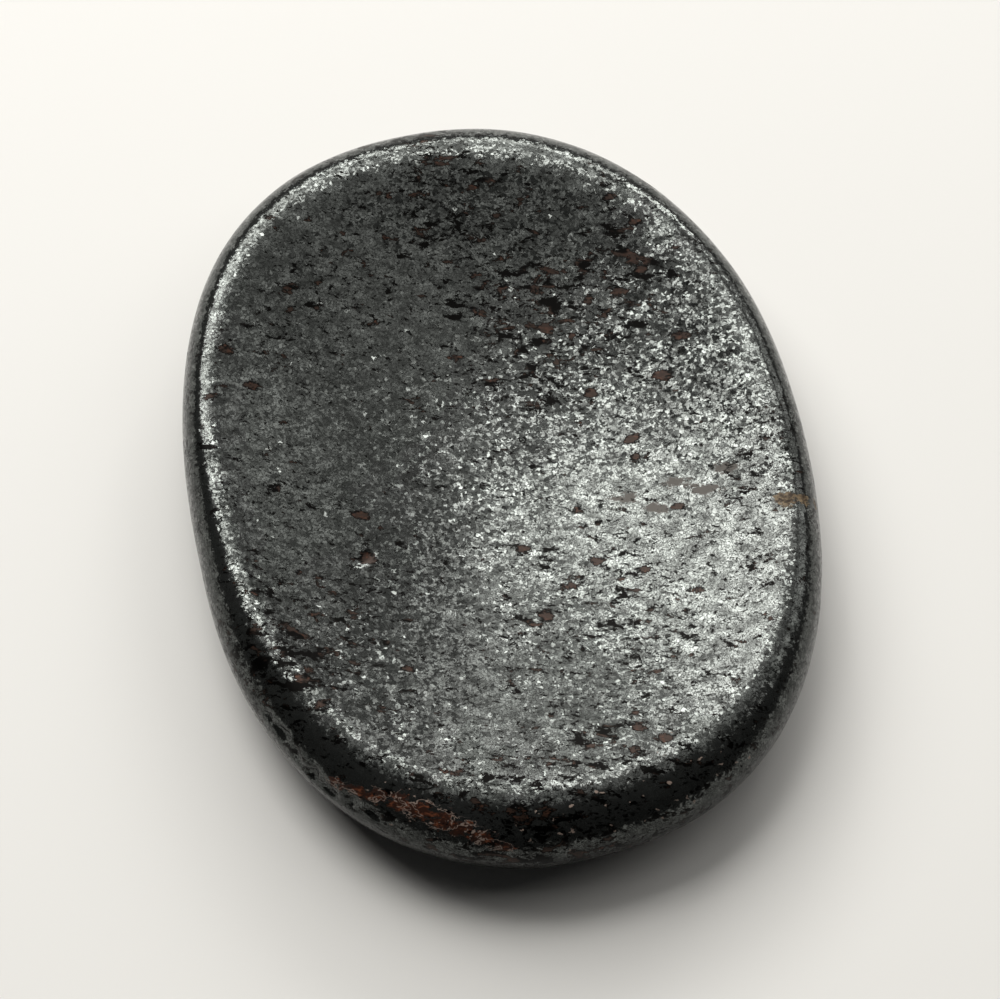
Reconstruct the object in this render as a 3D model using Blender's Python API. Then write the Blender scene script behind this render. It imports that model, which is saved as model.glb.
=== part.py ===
"""Massage stone: one piece of rock, ground to an oval with a full-round edge and a hollow for the thumb.

Frame: +Z up, +Y along the length, the flat base on z = 0, and the origin under the middle of the stone.
It runs in Blender's text editor, or with: blender --background --python part.py
"""

import math

import bmesh
import bpy

# Overall sizes, in metres.
LENGTH = 0.0482
WIDTH = 0.0374
THICKNESS = 0.0070

# The edge is an upper and a lower quarter of an ellipse, which meet at the widest line.
WIDEST_HEIGHT = 0.0040  # of the widest line, above the base
CREST_INSET = 0.0023  # mean distance from the outline in to the crest, the highest line of the rim
BASE_INSET = 0.0048  # from the outline in to the edge of the flat base

# The rim is wider in some places than in others. Each of these is a wave added to the crest inset.
RIM_ENDS = 0.00057  # widens the rim at both ends and narrows it at both sides
RIM_HEEL = 0.00040  # widens it at the -Y end and narrows it at the +Y end
RIM_CORNERS = 0.00036  # widens it at the +X +Y and -X -Y corners and narrows it at the other two
RIM_CHEEK = 0.00019  # widens it on the -X side and narrows it on the +X side

# The thumb hollow.
HOLLOW_DEPTH = 0.0030  # from the crest down to the lowest point
SHOULDER_RADIUS = 0.0034  # of the rounding that leads from the crest into the hollow

# The outline, seen from above: a superellipse that the grinding left a little uneven.
SQUARENESS = 2.25  # 2 is a plain ellipse, and more is squarer
LEAN = 0.011  # fills the +X +Y and -X -Y corners, and thins the other two
SHOULDER_SWELL = 0.0075  # makes the sides near those corners fuller than the ends near them
HEEL_SWELL = -0.020  # negative makes the -Y end blunter than the +Y end
CHEEK_SWELL = 0.006  # makes the +X side rounder than the -X side

# How finely the surface is divided.
SEGMENTS = 80  # around the outline
EDGE_STEPS = 7  # in each quarter of the edge
HOLLOW_RINGS = 12  # from the crest to the middle of the hollow
RING_CROWDING = 1.5  # more than 1 draws the hollow's rings towards the crest
ANGLES = [2 * math.pi * i / SEGMENTS for i in range(SEGMENTS)]

STONE_COLOUR = (0.085, 0.092, 0.092, 1.0)
STONE_ROUGHNESS = 0.32
STONE_METALLIC = 0.55


def clear_scene():
    for obj in list(bpy.data.objects):
        bpy.data.objects.remove(obj, do_unlink=True)


def stone_material():
    material = bpy.data.materials.new("polished_stone")
    material.use_nodes = True
    shader = material.node_tree.nodes["Principled BSDF"]
    shader.inputs["Base Color"].default_value = STONE_COLOUR
    shader.inputs["Roughness"].default_value = STONE_ROUGHNESS
    shader.inputs["Metallic"].default_value = STONE_METALLIC
    return material


def uneven_radius(angle):
    """Distance from the middle to the outline at this angle, before it is fitted to the overall sizes."""
    across = abs(math.cos(angle) / (WIDTH / 2)) ** SQUARENESS
    along = abs(math.sin(angle) / (LENGTH / 2)) ** SQUARENESS
    swell = (
        LEAN * math.sin(2 * angle)
        + SHOULDER_SWELL * math.sin(4 * angle)
        + HEEL_SWELL * math.sin(angle)
        + CHEEK_SWELL * math.cos(3 * angle)
    )
    return (1 + swell) * (across + along) ** (-1 / SQUARENESS)


def fitted(values, size):
    """The values moved and scaled so that they span size, half on each side of zero."""
    low, high = min(values), max(values)
    return [(value - (low + high) / 2) * size / (high - low) for value in values]


def outline_points():
    """The outline's points, anticlockwise seen from above, filling WIDTH by LENGTH."""
    xs = fitted([uneven_radius(angle) * math.cos(angle) for angle in ANGLES], WIDTH)
    ys = fitted([uneven_radius(angle) * math.sin(angle) for angle in ANGLES], LENGTH)
    return list(zip(xs, ys))


def crest_insets():
    """Distance from each point of the outline in to the crest."""
    insets = []
    for angle in ANGLES:
        ends_and_corners = RIM_CORNERS * math.sin(2 * angle) - RIM_ENDS * math.cos(2 * angle)
        heel_and_cheek = -RIM_HEEL * math.sin(angle) - RIM_CHEEK * math.cos(angle)
        insets.append(CREST_INSET + ends_and_corners + heel_and_cheek)
    return insets


def moved_in(points, insets):
    """A closed outline with each point moved inwards, square to the outline, by its own inset."""
    moved = []
    for i, (x, y) in enumerate(points):
        x_before, y_before = points[i - 1]
        x_after, y_after = points[(i + 1) % len(points)]
        run_x, run_y = x_after - x_before, y_after - y_before
        step = insets[i] / math.hypot(run_x, run_y)
        moved.append((x - step * run_y, y + step * run_x))
    return moved


def edge_rings(outline):
    """Rings of points from the edge of the base, round the outline, up to just short of the crest."""
    turns = [math.pi / 2 * step / EDGE_STEPS for step in range(EDGE_STEPS)]
    base_insets = [BASE_INSET] * SEGMENTS
    above_widest = THICKNESS - WIDEST_HEIGHT
    levels = [(base_insets, 1 - math.sin(turn), WIDEST_HEIGHT * (1 - math.cos(turn))) for turn in turns]
    for turn in turns:
        levels.append((crest_insets(), 1 - math.cos(turn), WIDEST_HEIGHT + above_widest * math.sin(turn)))
    rings = []
    for insets, share, height in levels:
        ring = moved_in(outline, [inset * share for inset in insets])
        rings.append([(x, y, height) for x, y in ring])
    return rings


def hollow_drop(share, reach):
    """How far the hollow lies below the crest, at this share of the reach from the crest to the middle.

    It is a parabola whose corner at the crest is rounded to SHOULDER_RADIUS.
    """
    softness = 2 * HOLLOW_DEPTH * SHOULDER_RADIUS / reach**2
    eased = (math.hypot(share, softness) - softness) / (math.hypot(1, softness) - softness)
    return HOLLOW_DEPTH * eased * (2 - eased)


def hollow_ring(crest, share):
    """One ring of the hollow: the crest line drawn this share of the way in to the middle."""
    ring = []
    for x, y in crest:
        z = THICKNESS - hollow_drop(share, math.hypot(x, y))
        ring.append((x * (1 - share), y * (1 - share), z))
    return ring


def stone_rings():
    """Rings of points from the edge of the base, over the edge and the crest, to near the hollow's middle."""
    outline = outline_points()
    rings = edge_rings(outline)
    crest = moved_in(outline, crest_insets())
    for step in range(HOLLOW_RINGS):
        rings.append(hollow_ring(crest, (step / HOLLOW_RINGS) ** RING_CROWDING))
    return rings


def build_stone():
    """The whole stone as one closed surface: a flat base, the rounded edge and the hollow."""
    bm = bmesh.new()
    rings = [[bm.verts.new(point) for point in ring] for ring in stone_rings()]
    middle = bm.verts.new((0, 0, THICKNESS - HOLLOW_DEPTH))
    bm.faces.new(reversed(rings[0]))
    for lower, upper in zip(rings, rings[1:]):
        for i in range(SEGMENTS):
            j = (i + 1) % SEGMENTS
            bm.faces.new((lower[i], lower[j], upper[j], upper[i]))
    for i in range(SEGMENTS):
        bm.faces.new((rings[-1][i], rings[-1][(i + 1) % SEGMENTS], middle))
    mesh = bpy.data.meshes.new("stone")
    bm.to_mesh(mesh)
    bm.free()
    mesh.shade_smooth()
    mesh.materials.append(stone_material())
    stone = bpy.data.objects.new("stone", mesh)
    bpy.context.scene.collection.objects.link(stone)
    return stone


clear_scene()
build_stone()
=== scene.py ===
"""A polished palm stone with a thumb hollow, on a pale table beside a window. Metres, +Z up."""

import math

import bpy
import numpy as np
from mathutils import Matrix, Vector


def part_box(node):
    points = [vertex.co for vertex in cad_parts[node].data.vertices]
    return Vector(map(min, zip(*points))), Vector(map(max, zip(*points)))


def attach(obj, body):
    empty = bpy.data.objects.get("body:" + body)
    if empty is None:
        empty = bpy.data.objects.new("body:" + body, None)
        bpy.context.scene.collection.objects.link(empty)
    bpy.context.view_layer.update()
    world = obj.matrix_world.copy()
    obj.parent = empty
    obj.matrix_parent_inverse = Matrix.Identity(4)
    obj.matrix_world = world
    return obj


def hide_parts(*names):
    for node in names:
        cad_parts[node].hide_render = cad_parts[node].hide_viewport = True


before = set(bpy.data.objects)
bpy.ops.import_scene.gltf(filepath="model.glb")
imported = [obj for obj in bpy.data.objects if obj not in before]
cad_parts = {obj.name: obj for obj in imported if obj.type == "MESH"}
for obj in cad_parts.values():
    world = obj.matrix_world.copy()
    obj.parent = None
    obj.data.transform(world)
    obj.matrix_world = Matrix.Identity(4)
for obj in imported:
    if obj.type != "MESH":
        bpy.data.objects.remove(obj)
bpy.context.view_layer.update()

# The stone is one piece of dark rock, rich in metallic ore, ground to an oval with a full-round edge.
# The hollow for the thumb is ground into its top, and the whole is tumbled to a polish, which leaves
# the hard ore grains bright and the softer minerals between them as dark specks and small pits.

STONE_LOW, STONE_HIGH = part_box("stone")
STONE_WIDTH, STONE_LENGTH, STONE_HEIGHT = STONE_HIGH - STONE_LOW
SQUARENESS = 2.25  # of the outline: 2 is a plain ellipse
BASE_INSET = 0.0048  # from the outline in to the flat underside
WIDEST_HEIGHT = 0.0040  # of the outline, the widest line, above the underside
HOLLOW_DEPTH = 0.0030
SHOULDER_RADIUS = 0.0034  # of the rounding from the crest into the hollow
WAVE_HEIGHTS = np.array([9, 8, 7, 5, 3, 2.5, 2, 1.6]) * 1e-6
DISC_STEPS = 104  # rings of the mesh from the middle of the hollow to its rim
EDGE_ROWS = 58  # rows of the mesh around the edge, from the crest to the underside


def fitted(values, size):
    """Values moved and scaled to span size, half on each side of zero."""
    low, high = values.min(), values.max()
    return (values - (low + high) / 2) * size / (high - low)


def stone_outline(angles):
    """x, y and outward unit normal of the outline at evenly spaced angles from +X.

    The radius is a superellipse's, times one plus four small waves that the grinding left.
    """
    across = np.abs(np.cos(angles) / (STONE_WIDTH / 2)) ** SQUARENESS
    along = np.abs(np.sin(angles) / (STONE_LENGTH / 2)) ** SQUARENESS
    lean = 0.011 * np.sin(2 * angles) + 0.0075 * np.sin(4 * angles)
    swell = 0.006 * np.cos(3 * angles) - 0.020 * np.sin(angles)
    radius = (1 + lean + swell) * (across + along) ** (-1 / SQUARENESS)
    x = fitted(radius * np.cos(angles), STONE_WIDTH)
    y = fitted(radius * np.sin(angles), STONE_LENGTH)
    run_x, run_y = np.roll(x, -1) - np.roll(x, 1), np.roll(y, -1) - np.roll(y, 1)
    run = np.hypot(run_x, run_y)
    return x, y, run_y / run, -run_x / run


def crest_inset(angles):
    """Distance from the outline in to the rim's crest: most at the -Y end and least at the sides."""
    ends_and_corners = 0.00036 * np.sin(2 * angles) - 0.00057 * np.cos(2 * angles)
    return 0.0023 + ends_and_corners - 0.00040 * np.sin(angles) - 0.00019 * np.cos(angles)


def disc_grid(steps):
    """Radius 0 to 1 and angle of a square grid folded into a disc, so that no point is a pole.

    Each square ring of the grid becomes a circle, and its points spread evenly around it.
    """
    line = np.arange(-steps, steps + 1) / steps
    a, b = np.meshgrid(line, line, indexing="ij")
    wide = np.abs(a) >= np.abs(b)
    radius = np.where(wide, a, b)
    ratio = np.where(wide, b, a) / np.where(radius == 0, 1, radius)
    angle = np.where(wide, ratio, 2 - ratio) * np.pi / 4
    return np.abs(radius), np.where(radius < 0, angle + np.pi, angle) % (2 * np.pi)


def rim_of(grid):
    """The border of a square array, once around, starting where the disc's angle is zero."""
    middle = (len(grid) - 1) // 2
    border = np.concatenate([grid[-1, :-1], grid[:0:-1, -1], grid[0, :0:-1], grid[:-1, 0]])
    return np.roll(border, -middle)


def hollow_drop(share, reach):
    """Depth below the crest at a share of the reach from crest to middle: a parabola with a rounded start."""
    softness = 2 * HOLLOW_DEPTH * SHOULDER_RADIUS / reach**2
    eased = (np.hypot(share, softness) - softness) / (np.hypot(1, softness) - softness)
    return HOLLOW_DEPTH * eased * (2 - eased)


def stone_surface():
    """Points and quads: a disc grid for the hollow, rows around the edge, and rings on the flat base.

    The quads leave the last ring open, and its points come last.
    """
    count = 8 * DISC_STEPS
    turns = 2 * np.pi * np.arange(count) / count
    x, y, out_x, out_y = stone_outline(turns)

    def ring_at(inset, angle):
        ring_x = np.interp(angle, turns, x - inset * out_x, period=2 * np.pi)
        ring_y = np.interp(angle, turns, y - inset * out_y, period=2 * np.pi)
        return ring_x, ring_y

    radius, angle = disc_grid(DISC_STEPS)
    crest_x, crest_y = ring_at(crest_inset(turns), angle)
    top_z = STONE_HEIGHT - hollow_drop(1 - radius, np.hypot(crest_x, crest_y))
    top = np.stack([radius * crest_x, radius * crest_y, top_z], axis=-1)

    # Round the edge, the inset and the height follow an upper and then a lower quarter of an ellipse.
    dip = np.linspace(np.pi / 2, -np.pi / 2, EDGE_ROWS + 1)[1:, None]
    inset = np.where(dip > 0, crest_inset(turns), BASE_INSET) * (1 - np.cos(dip))
    edge_x, edge_y = ring_at(0, turns)
    reach = np.where(dip > 0, STONE_HEIGHT - WIDEST_HEIGHT, WIDEST_HEIGHT)
    height = np.broadcast_to(WIDEST_HEIGHT + reach * np.sin(dip), inset.shape)
    edge = np.stack([edge_x - inset * out_x, edge_y - inset * out_y, height], axis=-1)
    base = np.array([0.8, 0.5, 0.2])[:, None, None] * edge[-1]

    side = 2 * DISC_STEPS + 1
    top_ids = np.arange(side * side).reshape(side, side)
    ring_ids = top_ids.size + np.arange((len(edge) + len(base)) * count).reshape(-1, count)
    rows = np.concatenate([[rim_of(top_ids)], ring_ids])
    after = np.roll(rows, -1, axis=1)
    quads = [
        np.stack([top_ids[:-1, :-1], top_ids[1:, :-1], top_ids[1:, 1:], top_ids[:-1, 1:]], axis=-1),
        np.stack([rows[:-1], rows[1:], after[1:], after[:-1]], axis=-1),
    ]
    points = np.concatenate([part.reshape(-1, 3) for part in (top, edge, base)])
    return points, np.concatenate([part.reshape(-1, 4) for part in quads])


def outward(points, quads):
    """Unit normals at the points, each the mean of its faces' normals weighed by their area."""
    corners = points[quads]
    face = np.cross(corners[:, 2] - corners[:, 0], corners[:, 3] - corners[:, 1])
    normals = np.zeros_like(points)
    for corner in range(4):
        np.add.at(normals, quads[:, corner], face)
    return normals / np.linalg.norm(normals, axis=1, keepdims=True)


def grinding(points):
    """Depth of the waves that the grinding left: eight plane waves, each with its own direction and start."""
    rng = np.random.default_rng(11)
    depth = np.zeros(len(points))
    for length, height in zip((0.011, 0.009, 0.008, 0.0065, 0.0045, 0.0038, 0.003, 0.0026), WAVE_HEIGHTS):
        way = rng.normal(size=3)
        phase = points @ (way / np.linalg.norm(way)) * 2 * np.pi / length + rng.uniform(0, 2 * np.pi)
        depth += height * (1 + np.sin(phase))
    return depth


def smooth(low, high, values):
    """0 below low, 1 above high, and an eased step between; low above high turns it round."""
    share = np.clip((values - low) / (high - low), 0, 1)
    return share * share * (3 - 2 * share)


def on_top(points, x, y):
    """The point of the stone's upper side nearest to x, y seen from above, all in millimetres."""
    upper = points[points[:, 2] > WIDEST_HEIGHT] * 1000
    return upper[np.hypot(upper[:, 0] - x, upper[:, 1] - y).argmin()]


def round_the_rim(points, bearings, insets):
    """Points of the upper side at bearings in degrees from +X, each its own inset in from the outline."""
    count = 8 * DISC_STEPS
    x, y, out_x, out_y = stone_outline(2 * np.pi * np.arange(count) / count)
    places = []
    for bearing, inset in zip(bearings, insets):
        i = round(bearing / 360 * count) % count
        places.append(on_top(points, x[i] * 1000 - inset * out_x[i], y[i] * 1000 - inset * out_y[i]))
    return places


PIT = (-9, -3)  # x and y of the large pit, in millimetres
PIT_RADIUS = 0.6
CHIP_BEARINGS = np.linspace(-146, -124, 7)  # where soft grains fell out of the near wall


def pits(points):
    """Depth of the pits: each is a bowl whose outline two crossing waves make uneven."""
    waves = np.sin(points @ np.array([5200, 3100, 4100])) + np.sin(points @ np.array([-2900, 6100, 1700]))
    rng = np.random.default_rng(5)
    bowls = [(on_top(points, *PIT), PIT_RADIUS, 0.14)]
    for place in round_the_rim(points, CHIP_BEARINGS, rng.uniform(0.15, 0.45, len(CHIP_BEARINGS))):
        bowls.append((place, rng.uniform(0.35, 0.60), rng.uniform(0.16, 0.30)))
    depth = np.zeros(len(points))
    for place, radius, most in bowls:
        away = np.linalg.norm(points * 1000 - place, axis=1) + 0.10 * waves
        depth = np.maximum(depth, most / 1000 * smooth(1.25 * radius, 0.35 * radius, away))
    return depth


points, quads = stone_surface()
normals = outward(points, quads)
above_base = smooth(0.0002, 0.0012, points[:, 2])  # the flat base stays flat
points = points - normals * (above_base * (grinding(points) + pits(points)))[:, None]
last_ring = list(range(len(points) - 8 * DISC_STEPS, len(points)))[::-1]
mesh = bpy.data.meshes.new("palm_stone")
mesh.from_pydata(points, [], quads.tolist() + [last_ring])
mesh.shade_smooth()
palm_stone = bpy.data.objects.new("palm_stone", mesh)
bpy.context.scene.collection.objects.link(palm_stone)

# Minerals that lie in a few places only. A patch is its middle, its half-length along the bedding and
# its half-width, in millimetres.

BEDDING = math.radians(-21)  # the way the grains are drawn out, from +X
VEIN_BEARINGS = np.linspace(-131, -105, 9)  # the rust vein, along the near wall
SEAM_BEARING = -24  # the seam of golden mica, over the +X side of the rim
CRYSTAL_BEARINGS = np.linspace(-122, -70, 5)
SPOT_COUNT = 22


def vein():
    """Rust in a run along the near wall, which climbs towards the rim and comes down again."""
    climb = np.sin(np.linspace(0, np.pi, len(VEIN_BEARINGS)))
    places = round_the_rim(points, VEIN_BEARINGS, 0.6 + 0.9 * climb)
    return [(place, 0.50 + 0.18 * rise, 0.28 + 0.12 * rise) for place, rise in zip(places, climb)]


def brown_spots():
    """A lining for the pit, and spots scattered in the hollow, more of them towards the +X side."""
    rng = np.random.default_rng(29)
    half_across, half_along = STONE_WIDTH * 500, STONE_LENGTH * 500  # of the outline, in millimetres
    spots = [(on_top(points, *PIT), 0.42, 0.34)]
    for _ in range(SPOT_COUNT):
        reach, bearing = np.sqrt(rng.uniform(0.02, 0.8)), rng.normal(-0.6, 1.4)
        x = reach * half_across * math.cos(bearing)
        y = reach * half_along * math.sin(bearing)
        spots.append((on_top(points, x, y), rng.uniform(0.28, 0.48), rng.uniform(0.14, 0.28)))
    return spots


def mica_seam():
    """Three patches of golden mica, one behind another from the crest out over the rim."""
    places = round_the_rim(points, [SEAM_BEARING] * 3, (2.2, 1.2, 0.4))
    return list(zip(places, (0.70, 0.50, 0.45), (0.36, 0.28, 0.26)))


def dull_run():
    """Flat patches of a mineral without ore, in a run towards the +X side of the hollow."""
    run = np.linspace(7, 13, 5)
    return [(on_top(points, x, -4 + 0.6 * math.sin(2 * x)), 0.80, 0.32) for x in run]


def black_regions():
    """Where the black mineral is thickest: the far end, the near -X corner and the near wall."""
    broad = ((4, 17, 6, 4), (9, 11, 5, 5), (-8, 15, 3, 3), (-15, -11, 5, 5), (-6, -21, 8, 3), (6, -22, 7, 2))
    return [(on_top(points, x, y), half_length, half_width) for x, y, half_length, half_width in broad]


def crystal_region():
    """Where pale crystals show: a band along the near wall."""
    places = round_the_rim(points, CRYSTAL_BEARINGS, [1.2] * len(CRYSTAL_BEARINGS))
    return [(place, 3.5, 1.3) for place in places]


def patch_field(rows):
    """1 in the middle of a patch, falling away to 0 at 2.5 times its half-sizes."""
    field = np.zeros(len(points))
    for place, half_length, half_width in rows:
        offset = points * 1000 - place
        run = offset[:, 0] * math.cos(BEDDING) + offset[:, 1] * math.sin(BEDDING)
        rest = np.sqrt(np.maximum((offset**2).sum(axis=1) - run**2, 0))
        field = np.maximum(field, smooth(2.5, 0, np.hypot(run / half_length, rest / half_width)))
    return field


PATCHES = {
    "rust": vein(),
    "brown": brown_spots(),
    "gold": mica_seam(),
    "dull": dull_run(),
    "black": black_regions(),
    "crystals": crystal_region(),
}
for patch_name, rows in PATCHES.items():
    mesh.attributes.new(patch_name, "FLOAT", "POINT").data.foreach_set("value", patch_field(rows))

# The rock: fine bright ore flakes, each with its own tilt and shine, between grains of a black mineral.

FLAKE_SIZE = 0.18  # mm


class Nodes:
    """Short names for adding and joining the nodes of one material."""

    def __init__(self, name):
        self.material = bpy.data.materials.new(name)
        self.material.use_nodes = True
        self.tree = self.material.node_tree
        self.shader = self.tree.nodes["Principled BSDF"]

    def add(self, kind, inputs, **settings):
        """A new node with these settings, and its inputs joined to sockets or set to values."""
        node = self.tree.nodes.new("ShaderNode" + kind)
        for name, value in settings.items():
            setattr(node, name, value)
        for name, value in inputs.items():
            self.set(node.inputs[name], value)
        return node

    def set(self, socket, value):
        if isinstance(value, bpy.types.NodeSocket):
            self.tree.links.new(value, socket)
        else:
            socket.default_value = value

    def math(self, operation, *values):
        return self.add("Math", dict(enumerate(values)), operation=operation).outputs[0]

    def vector(self, operation, *values):
        return self.add("VectorMath", dict(enumerate(values)), operation=operation).outputs[0]

    def ramp(self, value, low, high, to_low=0.0, to_high=1.0):
        """The value carried from low..high to to_low..to_high, with eased and clamped ends."""
        inputs = {"Value": value, "From Min": low, "From Max": high, "To Min": to_low, "To Max": to_high}
        return self.add("MapRange", inputs, interpolation_type="SMOOTHSTEP").outputs[0]

    def mix(self, share, first, second):
        """A colour between two, each a socket or a red, green and blue."""
        node = self.add("Mix", {}, data_type="RGBA")
        for socket, value in zip((node.inputs[0], node.inputs[6], node.inputs[7]), (share, first, second)):
            self.set(socket, (*value, 1) if isinstance(value, tuple) else value)
        return node.outputs[2]

    def attribute(self, name):
        return self.add("Attribute", {}, attribute_name=name).outputs["Fac"]

    def blend(self, share, first, second):
        """A number between two, each a socket or a value."""
        return self.add("Mix", {0: share, 2: first, 3: second}).outputs[0]

    def noise(self, vector, scale, detail=2.0, roughness=0.5, distortion=0.0):
        inputs = {"Vector": vector, "Scale": scale, "Detail": detail, "Roughness": roughness}
        return self.add("TexNoise", {**inputs, "Distortion": distortion}).outputs["Fac"]


def rock_material():
    rock = Nodes("ore_rich_rock")
    place = rock.add("TexCoord", {}).outputs["Object"]
    turned = rock.add("Mapping", {"Vector": place, "Rotation": (0, 0, -BEDDING), "Scale": (1000, 1000, 1000)})
    bedded = turned.outputs[0]

    # Fine flakes in ragged cells, with thin gaps between them. The more ore a flake holds, the brighter
    # the mirror it makes, and what isn't ore scatters a little light, about as much in every flake.
    ragged = rock.add("TexNoise", {"Vector": bedded, "Scale": 4.0, "Detail": 3.0}).outputs["Color"]
    push = rock.add("VectorMath", {0: ragged, "Scale": 0.50}, operation="SCALE").outputs[0]
    drawn = rock.vector("MULTIPLY", rock.vector("ADD", bedded, push), (0.8, 1, 1))
    flakes = rock.add("TexVoronoi", {"Vector": drawn, "Scale": 1 / FLAKE_SIZE})
    edges = rock.add("TexVoronoi", {"Vector": drawn, "Scale": 1 / FLAKE_SIZE}, feature="DISTANCE_TO_EDGE")
    whole = rock.ramp(edges.outputs["Distance"], 0.01, 0.13, 0.22, 1.0)
    luck = rock.add("TexWhiteNoise", {"Vector": flakes.outputs["Position"]})
    clumps = rock.noise(rock.vector("MULTIPLY", bedded, (0.6, 1, 1)), 1.4, 3)
    varied = rock.math("MULTIPLY_ADD", luck.outputs["Value"], 0.26, rock.ramp(clumps, 0.3, 0.7, 0.30, 0.76))
    normal = rock.add("NewGeometry", {}).outputs["Normal"]
    facing_up = rock.add("SeparateXYZ", {"Vector": normal}).outputs["Z"]
    wall_shade = rock.ramp(facing_up, 0.30, 0.80, 0.60, 1.0)  # painted shade: less ore, so a dimmer mirror, on the wall than on the top, for the shaded table it reflects
    richness = rock.math("MULTIPLY", rock.math("MULTIPLY", varied, whole), wall_shade)
    ore = rock.math("POWER", richness, 1.5)
    colour = rock.mix(ore, (0.0188, 0.020, 0.0190), (0.165, 0.176, 0.170))
    mirror = rock.math("MULTIPLY_ADD", ore, 0.156, 0.020)
    metal = rock.math("SUBTRACT", 1.0, rock.math("DIVIDE", 0.0120, mirror))

    # Each flake leans its own way: most by a degree or two, and a few far enough to catch another light.
    lean = rock.vector("SUBTRACT", flakes.outputs["Color"], (0.5, 0.5, 0.5))
    reach = rock.add("SeparateColor", {"Color": luck.outputs["Color"]}).outputs["Green"]
    steep = rock.math("MULTIPLY_ADD", rock.math("POWER", reach, 80.0), 0.5, 0.16)

    # The black mineral lies in ragged grains along the bedding, and in finer streaks between them.
    flattened = rock.vector("MULTIPLY", bedded, (0.55, 1, 1))
    bands = rock.noise(bedded, 0.12, 2)
    grains = rock.noise(flattened, 1.5, 7, 0.72, 0.3)
    banded = rock.math("MULTIPLY_ADD", bands, 0.22, grains)
    thick = rock.math("MULTIPLY_ADD", rock.attribute("black"), 0.045, banded)
    coarse = rock.ramp(thick, 0.700, 0.715)
    streaks = rock.noise(rock.vector("MULTIPLY", bedded, (0.6, 1, 1)), 3.6, 5, 0.7, 0.4)
    fine = rock.ramp(rock.math("MULTIPLY_ADD", bands, 0.15, streaks), 0.660, 0.690)
    black = rock.math("MAXIMUM", coarse, fine)

    # Where a patch's field and this noise together pass a limit, that patch's mineral shows. Brown
    # also fills the cores of some black grains.
    edge_noise = rock.noise(flattened, 2.6, 6, 0.75)

    def patch(name, limit, raggedness):
        field = rock.attribute(name)
        reached = rock.math("MULTIPLY_ADD", edge_noise, raggedness, field)
        return rock.math("MULTIPLY", rock.ramp(reached, limit, limit + 0.10), rock.ramp(field, 0.0, 0.15))

    loose = rock.noise(rock.vector("ADD", flattened, (40.0, 0.0, 0.0)), 0.9, 3)
    rust, gold, dull = patch("rust", 2.00, 3.0), patch("gold", 1.95, 2.8), patch("dull", 1.95, 2.8)
    cores = rock.math("MULTIPLY", rock.ramp(thick, 0.735, 0.765), rock.ramp(loose, 0.50, 0.56))
    brown = rock.math("MAXIMUM", patch("brown", 2.00, 2.8), cores)
    black = rock.math("MAXIMUM", black, patch("brown", 1.75, 2.8))

    # Pale crystals: a few ragged cells near the vein and along the front wall, and threads in the vein.
    gems = rock.add("TexVoronoi", {"Vector": drawn, "Scale": 2.2})
    chance = rock.add("TexWhiteNoise", {"Vector": gems.outputs["Position"]}).outputs["Value"]
    chosen = rock.math("GREATER_THAN", rock.math("MULTIPLY", chance, rock.attribute("crystals")), 0.50)
    size = rock.math("MULTIPLY_ADD", edge_noise, 1.2, gems.outputs["Distance"])
    wavy = rock.noise(rock.vector("ADD", flattened, (0.0, 40.0, 0.0)), 1.1, 4, 0.6, 0.4)
    thread = rock.ramp(rock.math("ABSOLUTE", rock.math("SUBTRACT", wavy, 0.5)), 0.014, 0.006)
    near_vein = rock.math("MULTIPLY", thread, rock.ramp(rock.attribute("rust"), 0.10, 0.40))
    pale = rock.math("MAXIMUM", near_vein, rock.math("MULTIPLY", chosen, rock.ramp(size, 0.84, 0.72)))

    flat = rock.math("SUBTRACT", 1.0, rock.math("MULTIPLY", rock.math("MAXIMUM", black, dull), 0.85))
    tilt = rock.add("VectorMath", {0: lean, "Scale": rock.math("MULTIPLY", steep, flat)}, operation="SCALE")
    leaning = rock.vector("NORMALIZE", rock.vector("ADD", normal, tilt.outputs[0]))

    # The other minerals are darker or earthy, and rougher. Each row: where, colour, shininess, roughness.
    earth = rock.mix(rock.ramp(streaks, 0.50, 0.68), (0.026, 0.009, 0.005), (0.170, 0.055, 0.026))
    mica = rock.mix(rock.ramp(streaks, 0.42, 0.62), (0.035, 0.022, 0.013), (0.190, 0.140, 0.085))
    others = (
        (dull, (0.058, 0.053, 0.048), 0.3, 0.36),
        (black, (0.0030, 0.0028, 0.0026), 0.9, 0.40),
        (brown, rock.mix(0.25, (0.026, 0.018, 0.014), earth), 0.3, 0.34),
        (rust, earth, 0.0, 0.55),
        (gold, mica, 0.0, 0.45),
        (pale, (0.260, 0.200, 0.170), 0.0, 0.40),
    )
    roughness = rock.ramp(metal, 0, 1, 0.32, 0.15)
    for share, tint, shininess, coarseness in others:
        colour = rock.mix(share, colour, tint)
        metal = rock.blend(share, metal, shininess)
        roughness = rock.blend(share, roughness, coarseness)
    rock.set(rock.shader.inputs["Base Color"], colour)
    rock.set(rock.shader.inputs["Metallic"], metal)
    rock.set(rock.shader.inputs["Roughness"], roughness)
    rock.set(rock.shader.inputs["Specular IOR Level"], 0.15)
    rock.set(rock.shader.inputs["Normal"], leaning)
    return rock.material


mesh.materials.append(rock_material())

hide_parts("stone")
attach(palm_stone, "root")

# The table is a wide sheet of board, painted a pale warm white that dries without a gloss. The stone
# lies loose on it.

TABLE_SIDE = 3.0
bpy.ops.mesh.primitive_plane_add(size=TABLE_SIDE)
table = bpy.context.object
table.name = "table"
paint = bpy.data.materials.new("pale_paint")
paint.use_nodes = True
coat = paint.node_tree.nodes["Principled BSDF"]
coat.inputs["Base Color"].default_value = (0.74, 0.732, 0.716, 1)
coat.inputs["Roughness"].default_value = 0.6
table.data.materials.append(paint)

# The camera stands at the stone's -Y side, a little to its left, and looks down at it.

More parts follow.
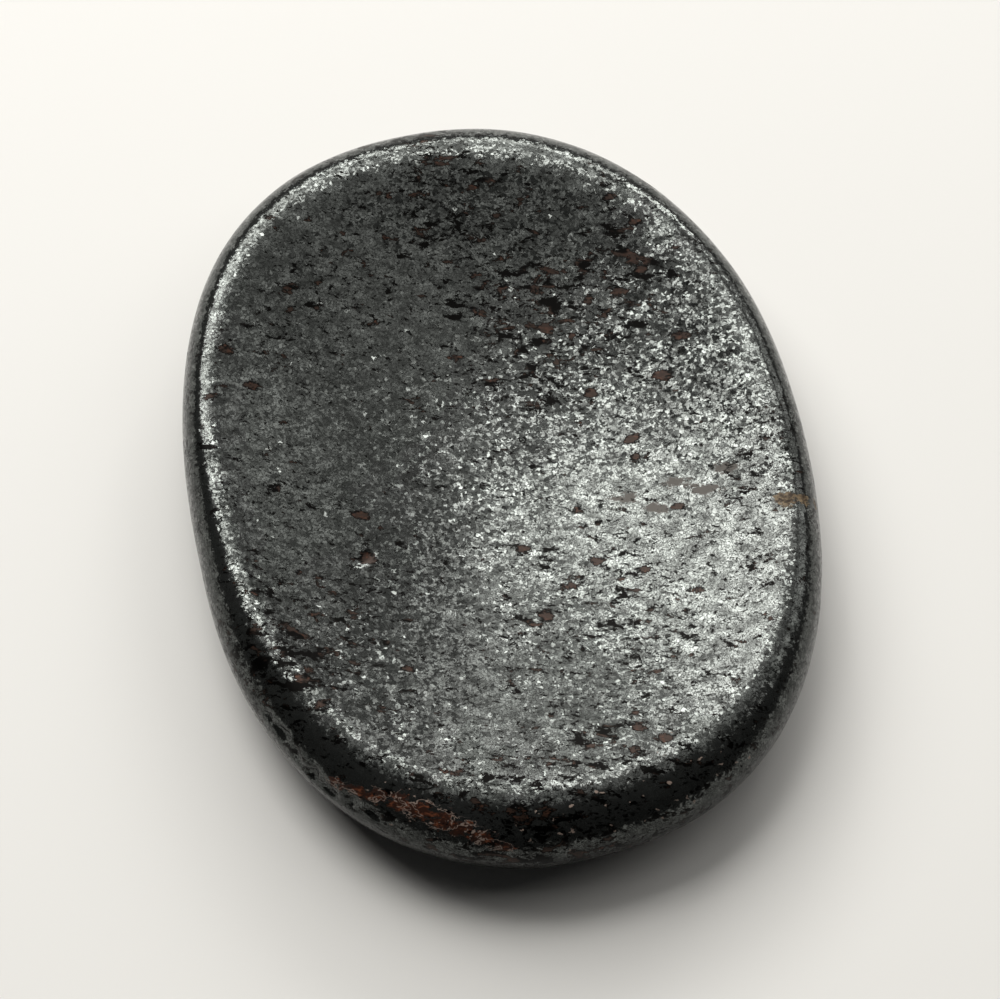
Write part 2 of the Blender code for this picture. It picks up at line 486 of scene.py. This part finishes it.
VIEW_AZIMUTH = math.radians(-16)
VIEW_ELEVATION = math.radians(66)
VIEW_DISTANCE = 0.22
CAMERA_LENS = 132.33  # on a 36 mm wide sensor
AIM = Vector((-0.00024, -0.00106, WIDEST_HEIGHT))


def towards(azimuth, elevation):
    """Unit vector to an azimuth, clockwise from the camera's far side, and an elevation, in radians."""
    bearing = VIEW_AZIMUTH - azimuth
    level = math.cos(elevation)
    return Vector((-math.sin(bearing) * level, math.cos(bearing) * level, math.sin(elevation)))


camera_data = bpy.data.cameras.new("camera")
camera_data.lens = CAMERA_LENS
camera = bpy.data.objects.new("camera", camera_data)
bpy.context.scene.collection.objects.link(camera)
away = towards(math.pi, VIEW_ELEVATION)
camera.location = AIM + VIEW_DISTANCE * away
camera.rotation_euler = away.to_track_quat("Z", "Y").to_euler()
camera_data.clip_start = 0.001
bpy.context.scene.camera = camera

# Soft daylight: a window in three bands on the far left, the wall and ceiling beyond it, the ceiling
# overhead, and a dim wall on the right.

LIGHT_DISTANCE = 0.7


def soft_light(name, azimuth, elevation, wide, tall, radiance):
    """A square-cornered soft light that covers wide by tall degrees of the sky, seen from the stone."""
    data = bpy.data.lights.new(name, "AREA")
    data.shape = "RECTANGLE"
    data.size = 2 * LIGHT_DISTANCE * math.tan(math.radians(wide / 2))
    data.size_y = 2 * LIGHT_DISTANCE * math.tan(math.radians(tall / 2))
    data.energy = radiance * math.pi * data.size * data.size_y
    data.color = (1.0, 0.985, 0.945)
    light = bpy.data.objects.new(name, data)
    bpy.context.scene.collection.objects.link(light)
    way = towards(math.radians(azimuth), math.radians(elevation))
    light.location = LIGHT_DISTANCE * way
    light.rotation_euler = way.to_track_quat("Z", "Y").to_euler()
    light.visible_camera = False


soft_light("window_foot", -34, 34, 34, 12, 7.6)
soft_light("window", -40, 48, 32, 16, 6.4)
soft_light("window_head", -27, 62, 26, 14, 7.3)
soft_light("far_wall", 8, 27, 42, 18, 7.8)
soft_light("far_ceiling", 3, 52, 16, 26, 2.4)
soft_light("ceiling", 0, 78, 44, 24, 0.76)
soft_light("right_wall", 60, 38, 42, 40, 1.3)

world = bpy.data.worlds.new("room")
world.use_nodes = True
world.node_tree.nodes["Background"].inputs["Color"].default_value = (0.02, 0.02, 0.02, 1)
bpy.context.scene.world = world
bpy.context.scene.view_settings.view_transform = "Standard"
